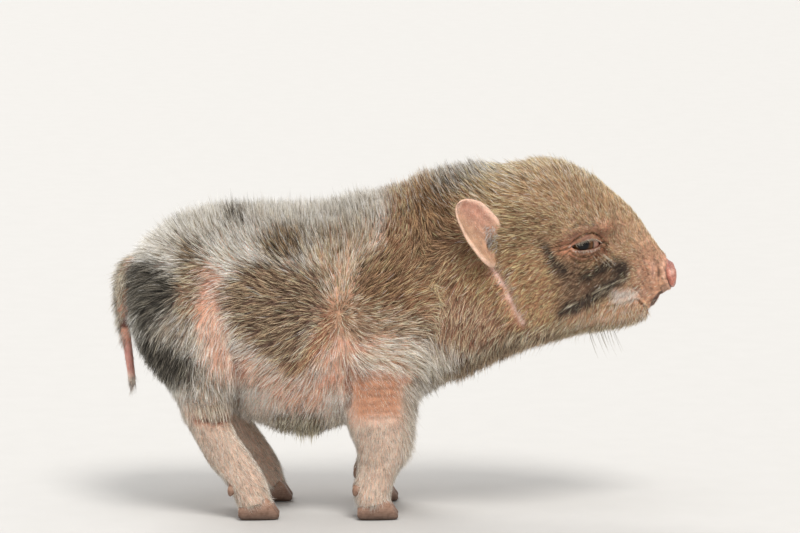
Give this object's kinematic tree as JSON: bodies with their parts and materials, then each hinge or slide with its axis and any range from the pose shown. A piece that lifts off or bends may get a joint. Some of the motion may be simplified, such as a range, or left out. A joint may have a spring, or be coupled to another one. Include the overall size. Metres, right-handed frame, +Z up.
{
  "type": "pot bellied piglet",
  "caption": "Still, life-size young pot bellied piglet, standing side-on with its neck stretched forward, short hairy spotted coat, small upright ears and hanging tail.",
  "frame": {"origin": "middle of the model's length and width, on the floor under the soles", "axes": "+X forward to the nose, +Y to the animal's left, +Z up"},
  "size_m": [0.2803, 0.0918, 0.1765],
  "materials": {
    "cream_coat": "matt skin under short cream hair",
    "brown_coat": "matt skin under short brown hair",
    "tan_coat": "matt skin under short tan hair",
    "pink_skin": "bare skin, slightly moist",
    "ear_skin": "thin skin with down",
    "eye_dark": "wet gloss",
    "hoof_horn": "satin horn"
  },
  "bodies": {
    "root": {"trunk": "cream_coat", "neck": "brown_coat", "head": "tan_coat", "ear_right": "ear_skin", "ear_left": "ear_skin", "eye_right": "eye_dark", "eye_left": "eye_dark", "tail": "pink_skin", "foreleg_right": "cream_coat", "foreleg_left": "cream_coat", "hindleg_right": "cream_coat", "hindleg_left": "cream_coat", "claw_foreleg_right_inner": "hoof_horn", "dewclaw_foreleg_right_inner": "hoof_horn", "claw_foreleg_right_outer": "hoof_horn", "dewclaw_foreleg_right_outer": "hoof_horn", "claw_foreleg_left_inner": "hoof_horn", "dewclaw_foreleg_left_inner": "hoof_horn", "claw_foreleg_left_outer": "hoof_horn", "dewclaw_foreleg_left_outer": "hoof_horn", "claw_hindleg_right_inner": "hoof_horn", "dewclaw_hindleg_right_inner": "hoof_horn", "claw_hindleg_right_outer": "hoof_horn", "dewclaw_hindleg_right_outer": "hoof_horn", "claw_hindleg_left_inner": "hoof_horn", "dewclaw_hindleg_left_inner": "hoof_horn", "claw_hindleg_left_outer": "hoof_horn", "dewclaw_hindleg_left_outer": "hoof_horn"}
  },
  "joints": []
}
